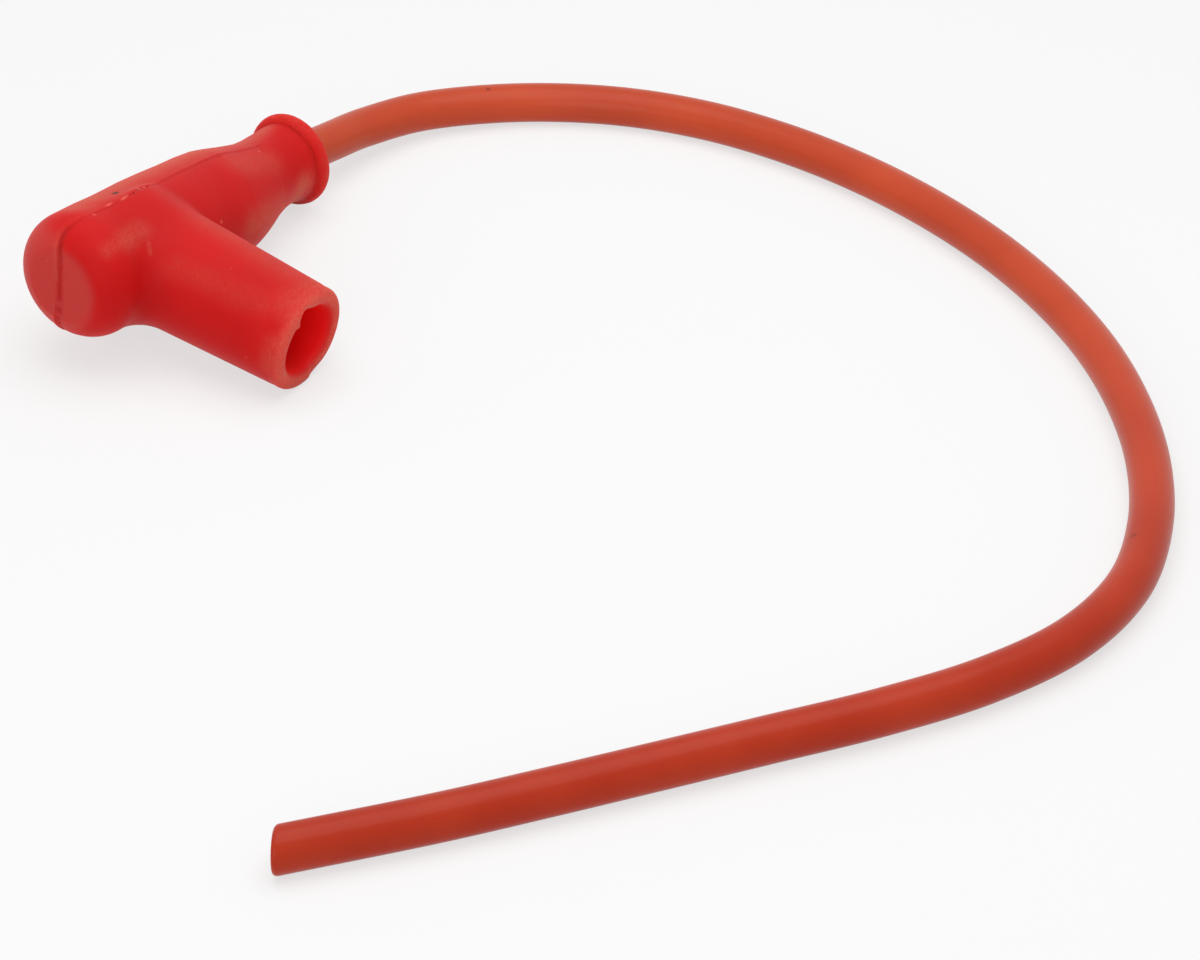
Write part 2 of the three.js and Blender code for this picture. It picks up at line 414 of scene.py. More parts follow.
def body_distance(x, y, z):
    lift = (KNOB_LIFT * soft_step(KNOB_LIFT_START - x, LIFT_FADE)
            + BEAD_LIFT * soft_step(x - WAIST_REACH, LIFT_FADE))
    bead = at_bead(x)
    across = (y + BEAD_SHIFT * bead) * (1 + (1 / BEAD_ACROSS - 1) * bead)
    up = (z - lift) * (1 + (1 / BEAD_UPRIGHT - 1) * bead)
    return turned_distance(body_outline(), leaned(x, z), np.hypot(across, up)) - web_on_neck(x, y, z)


def hollow_distance(x, y, z, near_mouth):
    """Signed distance to the plug socket's bore, the terminal's two chambers and the lead's bore."""
    about_x = np.hypot(y, z)
    about_y = np.hypot(x, z)
    depth = -y
    torn = around_mouth(x, z, MOUTH_TEAR) - around_mouth(x, z, MOUTH_TOOTH)
    bore_radius = SOCKET_BORE - BORE_LIP + torn * near_mouth
    bore = np.maximum(about_y - bore_radius, SOCKET_BORE_START - depth)
    chamber = np.maximum(about_y - CHAMBER_RADIUS, -CHAMBER_BACK - depth)
    chamber = np.maximum(chamber, depth - SOCKET_BORE_START - JOIN_OVERLAP)
    crimp = np.maximum(about_x - CRIMP_CHAMBER, np.maximum(-x, x - CRIMP_CHAMBER_END))
    seat = np.maximum(about_x - LEAD_SEAT, CRIMP_CHAMBER_END - JOIN_OVERLAP - x)
    return np.minimum(np.minimum(bore, chamber), np.minimum(crimp, seat))


def boot_distance(points):
    x, y, z = points.T
    depth = -y
    rise = ROOT_LIFT * np.clip(1 - depth / SOCKET_REACH, 0, 1)
    socket = turned_distance(socket_outline(), depth, np.hypot(x, z - rise))
    blend = SHARP_BLEND + (SOFT_BLEND - SHARP_BLEND) * soft_step(SOFT_SIDE_END - x, SOFT_SIDE_FADE)
    outer = smooth_least(body_distance(x, y, z), socket, blend) - moulding_marks(leaned(x, z), y, z)
    near_mouth = bump_at(depth - SOCKET_REACH, MOUTH_WEAR_DEPTH)
    outer = outer + rim_wear(x, z) * near_mouth
    at_edge = soft_step(depth - SOCKET_REACH + BORE_EDGE_DEPTH, BORE_EDGE_FADE)
    edge_blend = HOLLOW_BLEND + (BORE_EDGE_BLEND - HOLLOW_BLEND) * at_edge
    return -smooth_least(-outer, hollow_distance(x, y, z, near_mouth), edge_blend)


SLOPE_STEP = 0.02
LEAST_STEEPNESS = 0.25
LONGEST_MOVE = 0.5


def settle_on(distance, points, passes):
    """Moves points onto the surface where the distance is zero."""
    for _ in range(passes):
        value = distance(points)
        slope = [(distance(points + SLOPE_STEP * axis) - value) / SLOPE_STEP for axis in np.eye(3)]
        slope = np.stack(slope, axis=1)
        steepness = np.maximum((slope ** 2).sum(1), LEAST_STEEPNESS)
        points = points - np.clip(value / steepness, -LONGEST_MOVE, LONGEST_MOVE)[:, None] * slope
    return points


# Dust, scuffs and some painted sheen and light on the boot. Each is a stroke between two places in boot
# millimetres, with its half width and its strength.
DUST_AND_LIGHT_STROKES = [
    ((-15.6, -5.6, 8.2), (-12.5, -6.0, 8.9), 2.4, 0.3),
    ((-12.0, -6.2, 8.8), (-7.6, -5.9, 9.3), 3.2, 0.38),
    ((-7.9, -8.1, 8.0), (-8.8, -9.3, 6.7), 0.55, 0.6),
    # These two strokes along the top are partly dust and partly painted sheen past the parting line
    ((-10.0, 4.8, 9.3), (26.0, 4.2, 8.2), 5.2, 0.62),
    ((26.0, 4.2, 8.2), (42.0, 3.2, 6.2), 3.6, 0.5),
    # Partly dust and partly painted light, paler on the neck's shaded underside
    ((41.6, -6.2, -0.6), (37.6, -4.6, -5.2), 4.6, 0.9),
    ((24.0, -3.0, 8.8), (35.0, -4.0, 6.2), 4.0, 0.3),
    ((22.0, -9.8, 1.0), (34.0, -7.0, -2.0), 4.8, 0.55),
    ((-7.9, -14.0, 6.1), (-6.6, -30.0, 6.4), 3.6, 0.19),
    ((2.0, -12.0, 10.0), (1.0, -30.0, 9.0), 5.5, 0.2),
    ((-11.5, -6.5, -8.2), (0.0, -11.0, -8.6), 3.4, 0.5),
    ((-5.0, -34.0, 8.0), (6.0, -34.0, 7.6), 5.0, 0.4),
    ((-9.0, -34.5, 2.0), (-8.6, -34.5, -3.0), 3.0, 0.35),
]
BEAD_DUST = 0.2
BEAD_DUST_WIDTH = 1.5
BEAD_DUST_DEPTH = 1.2
# Painted highlight: paler along the lit side of the parting ridge on top of the knob
RIDGE_HIGHLIGHT = 0.25
RIDGE_HIGHLIGHT_PLACE = (0.45, 0.35, 1.0)
LINT = [
    ((-12.0, 0.3, 10.8), (0.35, 0.3, 0.6)),
    ((-7.4, 0.6, 10.7), (1.7, 0.3, 0.6)),
    ((-4.0, 0.0, 11.0), (1.5, 0.3, 0.6)),
    ((-0.1, -0.4, 11.5), (0.4, 0.3, 0.6)),
    ((1.0, -0.2, 11.4), (0.35, 0.25, 0.6)),
    ((33.9, -1.3, 7.1), (0.4, 0.3, 0.6)),
    ((45.6, 3.1, 7.0), (0.4, 0.3, 0.6)),
    ((-18.6, 3.5, 2.9), (0.6, 0.3, 0.3)),
    ((12.6, -8.9, 4.7), (0.4, 0.35, 0.5)),
]
BLACK_FLECK = ((-2.6, 2.8, 10.2), (0.95, 0.7, 1.2))

# A pale patch lies on the knob's end, wider on the far side, partly a dull film and partly painted
# reflection; a dull film lies on the rim
KNOB_FILM_AND_SHEEN = ((-18.5, 1.5, -1.5), 7.6)
SHEEN_FILM_DEPTH = 4.0
SHEEN_FILM_EDGE = 0.35
SHEEN_FILM_FAR_SIDE = 0.55
SHEEN_FILM_FAR_HEIGHT = 0.8
GROOVE_WIPE = 0.9
RIM_BLOOM = 0.6
RIM_FILM = 0.75
RIM_WIDTH = 1.3
RIM_START = 0.3
RIM_START_FADE = 0.15

# Painted light: brighter red on the walls inside the chamber and bore, standing in for light glowing through
# the walls; painted shade: dark lines in the creases
CHAMBER_MARGIN = 0.6
CHAMBER_SIDE = 2.0
BORE_INNER_END = 9.0
BORE_OUTER_END = 0.9
BORE_OUTER_FADE = 0.3
GROOVE_PAINTED_SHADE = (-0.15, 0.5, 0.8)
BODY_PAINTED_SHADE = (-0.2, 0.34, 0.7)
CREASE_RADIUS = 6.2
CREASE_KNOB_DEPTH = 2.0
LINT_GAIN = 2
FLECK_GAIN = 3


def patch_share(points, middle, half_sizes):
    """1 in the middle of an ellipsoid, falling smoothly to 0 at its edge."""
    away = np.linalg.norm((points - middle) / np.array(half_sizes), axis=1)
    near = np.clip(1 - away, 0, 1)
    return near * near * (3 - 2 * near)


def stroke_share(points, start, end, half_width):
    """1 along the middle of a stroke, falling smoothly to 0 at its edge."""
    start, end = np.array(start), np.array(end)
    along_stroke = np.clip((points - start) @ (end - start) / max((end - start) @ (end - start), 1e-6), 0, 1)
    away = np.linalg.norm(points - start - along_stroke[:, None] * (end - start), axis=1)
    return patch_share(away[:, None], 0, half_width)


def paint(mesh, name, values):
    layer = mesh.attributes.new(name, "FLOAT", "POINT")
    layer.data.foreach_set("value", values.astype(np.float32))


def knob_film_and_sheen(x, y, z):
    """The round patch on the knob's end, of dull film and painted reflection."""
    middle, radius = KNOB_FILM_AND_SHEEN
    across = y - middle[1]
    far = across > 0
    across = across * np.where(far, SHEEN_FILM_FAR_SIDE, 1)
    up = (z - middle[2]) * np.where(far, SHEEN_FILM_FAR_HEIGHT, 1)
    return (x < middle[0] + SHEEN_FILM_DEPTH) * soft_step(radius - np.hypot(across, up), SHEEN_FILM_EDGE)


def inner_walls(x, y, z):
    """1 on the walls of the chamber and the bore, which are painted a brighter red as painted light glowing
    in the bore.
    """
    about_y = np.hypot(x, z)
    in_chamber = ((about_y < SOCKET_BORE + CHAMBER_MARGIN) & (y < CHAMBER_SIDE)
                  & (np.hypot(y, z) < BODY_RADIUS - WALL_MARGIN))
    in_bore = soft_step(SOCKET_BORE + RIM_START - about_y, RIM_START_FADE)
    in_bore = in_bore * (-y > BORE_INNER_END) * soft_step(SOCKET_REACH - BORE_OUTER_END + y, BORE_OUTER_FADE)
    return np.maximum(in_chamber, in_bore)


def paint_boot(mesh, points):
    """Point masks for the material: dust with some painted sheen and light, dull film with painted
    reflection, painted light on the inner walls, painted shade in the creases, pale lint and one black fleck.
    """
    x, y, z = points.T
    x = leaned(x, z)
    about_x = np.hypot(y, z)
    about_y = np.hypot(x, z)
    side, depth = parting_line(x, y, z)
    off_chamber = about_y > CHAMBER_RADIUS + WALL_MARGIN
    strokes = [strength * stroke_share(points, start, end, half_width)
               for start, end, half_width, strength in DUST_AND_LIGHT_STROKES]
    off_bore = soft_step(about_y - SOCKET_BORE - RIM_START, RIM_START_FADE)
    on_rim = bump_at(-y - SOCKET_REACH, RIM_WIDTH) * off_bore
    on_bead = bump_at(x - NECK_REACH + BEAD_HALF_WIDTH, BEAD_DUST_WIDTH)
    on_bead = on_bead * (about_x > BEAD_RADIUS - BEAD_DUST_DEPTH)
    # Painted highlight on the lit side of the parting ridge
    on_ridge = mark_at(side, RIDGE_HIGHLIGHT_PLACE) * (z > 0) * (x < 0) * off_chamber * depth
    # Pale dust, with painted sheen along the top, painted light under the neck and a painted highlight along
    # the ridge
    dust_and_painted_light = np.max(strokes + [RIM_BLOOM * on_rim, BEAD_DUST * on_bead, RIDGE_HIGHLIGHT * on_ridge], axis=0)
    on_face = on_knob_face(x)
    in_groove = bump_at(side - KNOB_GROOVE[0], KNOB_GROOVE[1]) * on_face
    # Dull film on the rim, and on the knob's end dull film with painted reflection
    film_and_painted_light = np.maximum(knob_film_and_sheen(x, y, z) * (1 - GROOVE_WIPE * in_groove), RIM_FILM * on_rim)
    # Painted shade: dark lines along the knob's groove and the parting line's groove, where shade falls
    # beside the ridge
    crease = np.maximum(mark_at(side, GROOVE_PAINTED_SHADE) * on_face, mark_at(side, BODY_PAINTED_SHADE) * (1 - on_face))
    outside = (about_x > CREASE_RADIUS) | (x < CREASE_KNOB_DEPTH - KNOB_REACH)
    lint = np.max([patch_share(points, middle, size) for middle, size in LINT], axis=0)
    paint(mesh, "dust_and_painted_light", dust_and_painted_light)
    paint(mesh, "film_and_painted_light", film_and_painted_light)
    # Painted light: the walls inside the chamber and bore are painted a brighter red
    paint(mesh, "inside", inner_walls(x, y, z))
    paint(mesh, "crease", crease * depth * outside * off_chamber * (x < PARTING_END))
    paint(mesh, "lint", np.minimum(LINT_GAIN * lint, 1))
    paint(mesh, "fleck", np.minimum(FLECK_GAIN * patch_share(points, *BLACK_FLECK), 1))


# What is thinned inside the boot, as distances past its walls and short of its openings
THIN_CRIMP = 0.5
THIN_BORE = 0.4
THIN_NECK_END = 2.5
THIN_MOUTH_END = 6.0


def settle_mesh(mesh, passes):
    """Moves a mesh's points onto the boot's surface, and gives their places in boot millimetres."""
    settled = settle_on(boot_distance, to_boot(mesh_places(mesh)), passes)
    mesh.vertices.foreach_set("co", from_boot(settled).ravel())
    mesh.update()
    return settled


def thin_hidden_walls(boot, points):
    """Takes faces away from the plain walls deep inside the boot."""
    x, y, z = points.T
    round_crimp = np.hypot(y, z) < CRIMP_CHAMBER + THIN_CRIMP
    round_crimp &= (x > 0) & (x < NECK_REACH - THIN_NECK_END)
    round_plug = np.hypot(x, z) < SOCKET_BORE + THIN_BORE
    round_plug &= (y < CHAMBER_BACK + THIN_CRIMP) & (-y < SOCKET_REACH - THIN_MOUTH_END)
    group = boot.vertex_groups.new(name="hidden_walls")
    group.add(np.flatnonzero(round_crimp | round_plug).tolist(), 1.0, "REPLACE")
    thin = boot.modifiers.new("thin", "DECIMATE")
    thin.ratio = KEPT_SHARE
    thin.vertex_group = group.name
    thinned = finished_mesh(boot)
    boot.modifiers.remove(thin)
    boot.data = thinned
    boot.vertex_groups.clear()


def make_boot(material):
    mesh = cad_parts["boot"].data.copy()
    shell = bmesh.new()
    shell.from_mesh(mesh)
    bmesh.ops.remove_doubles(shell, verts=shell.verts, dist=0.001 * MM)
    shell.to_mesh(mesh)
    shell.free()
    boot = new_object("boot_skin", mesh, material)
    remesh = boot.modifiers.new("even_mesh", "REMESH")
    remesh.mode = "VOXEL"
    remesh.voxel_size = BOOT_VOXEL
    even = finished_mesh(boot)
    boot.modifiers.remove(remesh)
    boot.data = even
    thin_hidden_walls(boot, settle_mesh(even, 3))
    settled = settle_mesh(boot.data, 1)
    paint_boot(boot.data, settled)
    set_material(boot.data, material)
    return boot


# Lead


def grid_faces(rings, sides, first=0, turned=False):
    """Quads between rings of corners that follow each other, each ring closed on itself."""
    faces = []
    for ring in range(rings - 1):
        for side in range(sides):
            a = first + ring * sides + side
            b = first + ring * sides + (side + 1) % sides
            quad = (a, b, b + sides, a + sides)
            faces.append(quad[::-1] if turned else quad)
    return faces


LEAD_SIDES = 40
LEAD_STEP = 1.2 * MM
LEAD_EDGE = 0.8 * MM
CUT_TURN = math.radians(20)
CUT_REACH = 6 * MM
# Past its near stretch the lead is painted paler and more orange, as painted light on its far part
NEAR_STRETCH = 165 * MM
FAR_LIGHT_FADE = 22 * MM
EDGE_ANGLES = (15, 30, 45, 60, 75, 90)
SHARP_EDGE = 40


def lead_section(length):
    """Stations along the path with the jacket's outer radius at each, softened at the cut end."""
    count = round(length / LEAD_STEP)
    stations = list(np.linspace(0, length - LEAD_EDGE, count))
    radii = [LEAD_DIAMETER / 2] * count
    for angle in np.radians(EDGE_ANGLES):
        stations.append(length - LEAD_EDGE * (1 - math.sin(angle)))
        radii.append(LEAD_DIAMETER / 2 - LEAD_EDGE * (1 - math.cos(angle)))
    return np.array(stations), np.array(radii)


def along(path, stations):
    """Places and cross directions at the given distances along a path."""
    steps = np.linalg.norm(np.diff(path, axis=0), axis=1)
    run = np.concatenate([[0], np.cumsum(steps)])
    sides, ups = cross_directions(path)
    return [np.stack([np.interp(stations, run, values[:, i]) for i in range(3)], axis=1)
            for values in (path, sides, ups)]


def slant_end(points, path):
    """Slides points near the lead's end along it, so that they end in the slanted cut."""
    end = path[-1]
    heading = (path[-1] - path[-2]) / np.linalg.norm(path[-1] - path[-2])
    side = np.cross(heading, (0, 0, 1))
    offset = points - end
    share = np.clip(offset @ heading / CUT_REACH + 1, 0, 1) * (np.linalg.norm(offset, axis=1) < 2 * CUT_REACH)
    return points - (share * (offset @ side) * math.tan(CUT_TURN))[:, None] * heading


def make_lead(material):
    path = smooth_route(LEAD_ROUTE, LEAD_STEP)
    length = np.linalg.norm(np.diff(path, axis=0), axis=1).sum()
    stations, radii = lead_section(length)
    centres, sides, ups = along(path, stations)
    angles = np.linspace(0, 2 * math.pi, LEAD_SIDES, endpoint=False)
    ring = np.cos(angles)[None, :, None] * sides[:, None] + np.sin(angles)[None, :, None] * ups[:, None]
    outer = centres[:, None] + ring * radii[:, None, None]
    inner = centres[:, None] + ring * LEAD_BORE / 2
    corners = slant_end(np.concatenate([outer.reshape(-1, 3), inner.reshape(-1, 3)]), path)
    rings = len(stations)
    inside = rings * LEAD_SIDES
    faces = grid_faces(rings, LEAD_SIDES) + grid_faces(rings, LEAD_SIDES, inside, turned=True)
    for side in range(LEAD_SIDES):
        after = (side + 1) % LEAD_SIDES
        faces.append((after, side, inside + side, inside + after))
        last = (rings - 1) * LEAD_SIDES
        faces.append((last + side, last + after, inside + last + after, inside + last + side))
    mesh = bpy.data.meshes.new("lead_sleeve")
    mesh.from_pydata(corners.tolist(), [], faces)
    unwrap_lead(mesh, stations, rings)
    run = np.tile(np.repeat(stations, LEAD_SIDES), 2)
    # Painted light: a mask that makes the lead paler and more orange past its near stretch
    paint(mesh, "film_and_painted_light", soft_step(length - NEAR_STRETCH - run, FAR_LIGHT_FADE))
    recalculate_normals(mesh)
    lead = new_object("lead_sleeve", mesh, material)
    soften_only_below(lead, SHARP_EDGE)
    return lead, path


def unwrap_lead(mesh, stations, rings):
    """UV map in lead diameters: across is round the lead, up is along it."""
    layer = mesh.uv_layers.new(name="along_lead")
    corner_count = len(mesh.loops)
    vertex = np.zeros(corner_count, int)
    mesh.loops.foreach_get("vertex_index", vertex)
    side = vertex % LEAD_SIDES
    ring = (vertex // LEAD_SIDES) % rings
    across = side / LEAD_SIDES
    face = np.repeat(np.arange(len(mesh.polygons)), [p.loop_total for p in mesh.polygons])
    widest = np.zeros(len(mesh.polygons))
    np.maximum.at(widest, face, across)
    across = np.where((widest[face] > 0.9) & (across < 0.1), across + 1, across)
    uv = np.stack([across * math.pi, stations[ring] / LEAD_DIAMETER], axis=1)
    layer.data.foreach_set("uv", uv.ravel())


def recalculate_normals(mesh):
    work = bmesh.new()
    work.from_mesh(mesh)
    bmesh.ops.recalc_face_normals(work, faces=work.faces)
    work.to_mesh(mesh)
    work.free()


def soften_only_below(thing, degrees):
    bpy.context.view_layer.objects.active = thing
    for other in bpy.context.selected_objects:
        other.select_set(False)
    thing.select_set(True)
    bpy.ops.object.shade_smooth_by_angle(angle=math.radians(degrees))


# Conductor: a twisted bundle of strands, swept along the lead by Geometry Nodes

BARE_START = (-0.00231, 0.01332, 0.01328)
STRAND_SIZES = {"Strand Radius": 0.16 * MM, "Twist Pitch": 14.0 * MM}
STRAND_COUNTS = {"Inner Strands": 6, "Outer Strands": 12}
INNER_RING = 2.0
OUTER_RING = 3.95
STRAND_SIDES = 6
STRAND_STEP = 2.0 * MM


class Tree:
    """Adds nodes to a node tree and joins them, one call for each node."""

    def __init__(self, tree):
        self.tree = tree

    def add(self, kind, values=None, **settings):
        node = self.tree.nodes.new(kind)
        for name, value in settings.items():
            setattr(node, name, value)
        for key, value in (values or {}).items():
            socket = node.inputs[key]
            if isinstance(value, bpy.types.NodeSocket):
                self.tree.links.new(value, socket)
            else:
                socket.default_value = value
        return node

    def math(self, operation, *values, clamp=False):
        node = self.add("ShaderNodeMath", dict(enumerate(values)), operation=operation, use_clamp=clamp)
        return node.outputs[0]


def strand_tree(material):
    tree = bpy.data.node_groups.new("twisted_strands", "GeometryNodeTree")
    face = tree.interface
    face.new_socket("Geometry", in_out="INPUT", socket_type="NodeSocketGeometry")
    for name, value in STRAND_SIZES.items():
        face.new_socket(name, in_out="INPUT", socket_type="NodeSocketFloat").default_value = value
    for name, value in STRAND_COUNTS.items():
        face.new_socket(name, in_out="INPUT", socket_type="NodeSocketInt").default_value = value
    face.new_socket("Geometry", in_out="OUTPUT", socket_type="NodeSocketGeometry")
    make = Tree(tree)
    given = make.add("NodeGroupInput")
    radius = given.outputs["Strand Radius"]
    inner_ring = make.add("GeometryNodeMeshCircle", {"Vertices": given.outputs["Inner Strands"],
                                                     "Radius": make.math("MULTIPLY", radius, INNER_RING)})
    outer_ring = make.add("GeometryNodeMeshCircle", {"Vertices": given.outputs["Outer Strands"],
                                                     "Radius": make.math("MULTIPLY", radius, OUTER_RING)})
    middle = make.add("GeometryNodeMeshLine", {"Count": 1})
    centres = make.add("GeometryNodeJoinGeometry")
    for ring in (inner_ring, outer_ring, middle):
        tree.links.new(ring.outputs["Mesh"], centres.inputs["Geometry"])
    wire = make.add("GeometryNodeCurvePrimitiveCircle", {"Resolution": STRAND_SIDES, "Radius": radius})
    wires = make.add("GeometryNodeInstanceOnPoints", {"Points": centres.outputs[0],
                                                      "Instance": wire.outputs["Curve"]})
    section = make.add("GeometryNodeRealizeInstances", {"Geometry": wires.outputs[0]})
    run = make.add("GeometryNodeSplineParameter")
    turns = make.math("DIVIDE", run.outputs["Length"], given.outputs["Twist Pitch"])
    twisted = make.add("GeometryNodeSetCurveTilt", {"Curve": given.outputs["Geometry"],
                                                    "Tilt": make.math("MULTIPLY", turns, 2 * math.pi)})
    swept = make.add("GeometryNodeCurveToMesh", {"Curve": twisted.outputs[0],
                                                 "Profile Curve": section.outputs[0], "Fill Caps": True})
    real = make.add("GeometryNodeRealizeInstances", {"Geometry": swept.outputs[0]})
    dressed = make.add("GeometryNodeSetMaterial", {"Geometry": real.outputs[0], "Material": material})
    result = make.add("NodeGroupOutput")
    tree.links.new(dressed.outputs[0], result.inputs[0])
    return tree


def poly_curve(name, path):
    data = bpy.data.curves.new(name, "CURVE")
    data.dimensions = "3D"
    spline = data.splines.new("POLY")
    spline.points.add(len(path) - 1)
    spline.points.foreach_set("co", np.column_stack([path, np.ones(len(path))]).ravel())
    return bpy.data.objects.new(name, data)


def grown(name, base, tree, values):
    """The mesh that a Geometry Nodes tree makes from a base object, as a plain object."""
    bpy.context.scene.collection.objects.link(base)
    modifier = base.modifiers.new("grow", "NODES")
    modifier.node_group = tree
    for item in tree.interface.items_tree:
        if item.in_out == "INPUT" and item.name in values:
            modifier[item.identifier] = values[item.name]
    mesh = finished_mesh(base)
    mesh.name = name
    bpy.data.objects.remove(base)
    thing = bpy.data.objects.new(name, mesh)
    bpy.context.scene.collection.objects.link(thing)
    return thing


def make_strands(material):
    path = smooth_route([BARE_START] + LEAD_ROUTE, STRAND_STEP)
    values = {**STRAND_SIZES, **STRAND_COUNTS}
    strands = grown("strand_bundle", poly_curve("strand_path", path), strand_tree(material), values)
    cut = slant_end(mesh_places(strands.data), path)
    strands.data.vertices.foreach_set("co", cut.ravel())
    recalculate_normals(strands.data)
    return strands


# Surfaces


def srgb(red, green, blue):
    """A colour written in 0 to 255 screen values, as linear light."""
    def linear(value):
        value /= 255
        return value / 12.92 if value <= 0.04045 else ((value + 0.055) / 1.055) ** 2.4
    return (linear(red), linear(green), linear(blue), 1.0)


def new_group(name, inputs, outputs):
    """A shader node group with named sockets. Inputs give their type and default."""
    group = bpy.data.node_groups.new(name, "ShaderNodeTree")
    for label, (kind, value) in inputs.items():
        socket = group.interface.new_socket(label, in_out="INPUT", socket_type=kind)
        if value is not None:
            socket.default_value = value
    for label, kind in outputs.items():
        group.interface.new_socket(label, in_out="OUTPUT", socket_type=kind)
    make = Tree(group)
    return group, make, make.add("NodeGroupInput"), make.add("NodeGroupOutput")


NUMBER = "NodeSocketFloat"
VECTOR = "NodeSocketVector"


def ramp(make, value, low, high):
    """0 below low, 1 above high, smooth between."""
    node = make.add("ShaderNodeMapRange", {"Value": value, "From Min": low, "From Max": high},
                    interpolation_type="SMOOTHSTEP")
    return node.outputs["Result"]


def blend_colour(make, share, first, second, kind="MIX"):
    node = make.add("ShaderNodeMix", {0: share, 6: first, 7: second}, data_type="RGBA", blend_type=kind)
    return node.outputs[2]


def skin_group():
    """Moulded silicone: cloudy tone, fine grain and a few bright specks of lint."""
    group, make, given, result = new_group(
        "moulded_skin",
        {"Place": (VECTOR, None), "Cloud Size": (NUMBER, 60.0), "Grain Size": (NUMBER, 2500.0),
         "Speck Amount": (NUMBER, 0.5)},
        {"Tone": NUMBER, "Height": NUMBER, "Specks": NUMBER})
    cloud = make.add("ShaderNodeTexNoise", {"Vector": given.outputs["Place"],
                                            "Scale": given.outputs["Cloud Size"], "Detail": 3.0})
    grain = make.add("ShaderNodeTexNoise", {"Vector": given.outputs["Place"],
                                            "Scale": given.outputs["Grain Size"], "Detail": 2.0})
    swell = make.add("ShaderNodeTexNoise", {"Vector": given.outputs["Place"], "Scale": 260.0, "Detail": 2.0})
    dots = make.add("ShaderNodeTexVoronoi", {"Vector": given.outputs["Place"], "Scale": 330.0})
    chosen = make.add("ShaderNodeSeparateColor", {"Color": dots.outputs["Color"]})
    threshold = make.math("SUBTRACT", 1.0, given.outputs["Speck Amount"])
    rare = make.math("GREATER_THAN", chosen.outputs[0], threshold)
    small = make.math("LESS_THAN", dots.outputs["Distance"], make.math("MULTIPLY", chosen.outputs[1], 0.09))
    height = make.math("ADD", make.math("MULTIPLY", grain.outputs[0], 0.35), swell.outputs[0])
    specks = make.math("MULTIPLY", rare, small)
    for label, value in (("Tone", cloud.outputs[0]), ("Specks", specks),
                         ("Height", make.math("ADD", height, make.math("MULTIPLY", specks, 0.5)))):
        make.tree.links.new(value, result.inputs[label])
    return group


def spot_group():
    """A ragged patch, such as dust, a smudge or a scuff, round a place."""
    group, make, given, result = new_group(
        "ragged_spot",
        {"Place": (VECTOR, None), "Centre": (VECTOR, (0, 0, 0)), "Reach": (NUMBER, 0.003),
         "Stretch": (VECTOR, (1, 1, 1)), "Raggedness": (NUMBER, 900.0)},
        {"Mask": NUMBER})
    offset = make.add("ShaderNodeVectorMath", {0: given.outputs["Place"], 1: given.outputs["Centre"]},
                      operation="SUBTRACT")
    scaled = make.add("ShaderNodeVectorMath", {0: offset.outputs[0], 1: given.outputs["Stretch"]},
                      operation="MULTIPLY")
    away = make.add("ShaderNodeVectorMath", {0: scaled.outputs[0]}, operation="LENGTH")
    reached = make.math("DIVIDE", away.outputs["Value"], given.outputs["Reach"])
    near = make.math("SUBTRACT", 1.0, reached, clamp=True)
    torn = make.add("ShaderNodeTexNoise", {"Vector": given.outputs["Place"],
                                           "Scale": given.outputs["Raggedness"], "Detail": 4.0})
    mask = ramp(make, make.math("ADD", near, make.math("MULTIPLY", torn.outputs[0], 0.9)), 0.75, 1.25)
    make.tree.links.new(make.math("MULTIPLY", mask, ramp(make, near, 0.0, 0.35)), result.inputs["Mask"])
    return group


def new_material(name):
    material = bpy.data.materials.new(name)
    material.use_nodes = True
    material.node_tree.nodes.clear()
    make = Tree(material.node_tree)
    shader = make.add("ShaderNodeBsdfPrincipled")
    output = make.add("ShaderNodeOutputMaterial")
    make.tree.links.new(shader.outputs[0], output.inputs["Surface"])
    return material, make, shader


def use_group(make, group, values):
    return make.add("ShaderNodeGroup", values, node_tree=group)


def spots(make, group, place, marks):
    """The strongest of several ragged spots, each given as centre, reach, stretch and strength."""
    total = None
    for centre, reach, stretch, strength in marks:
        spot = use_group(make, group, {"Place": place, "Centre": centre, "Reach": reach, "Stretch": stretch})
        mask = make.math("MULTIPLY", spot.outputs[0], strength)
        total = mask if total is None else make.math("MAXIMUM", total, mask)
    return total


def raise_skin(make, shader, height, strength, distance):
    bump = make.add("ShaderNodeBump", {"Height": height, "Strength": strength, "Distance": distance})
    make.tree.links.new(bump.outputs[0], shader.inputs["Normal"])


def painted(make, name):
    return make.add("ShaderNodeAttribute", attribute_name=name).outputs["Fac"]


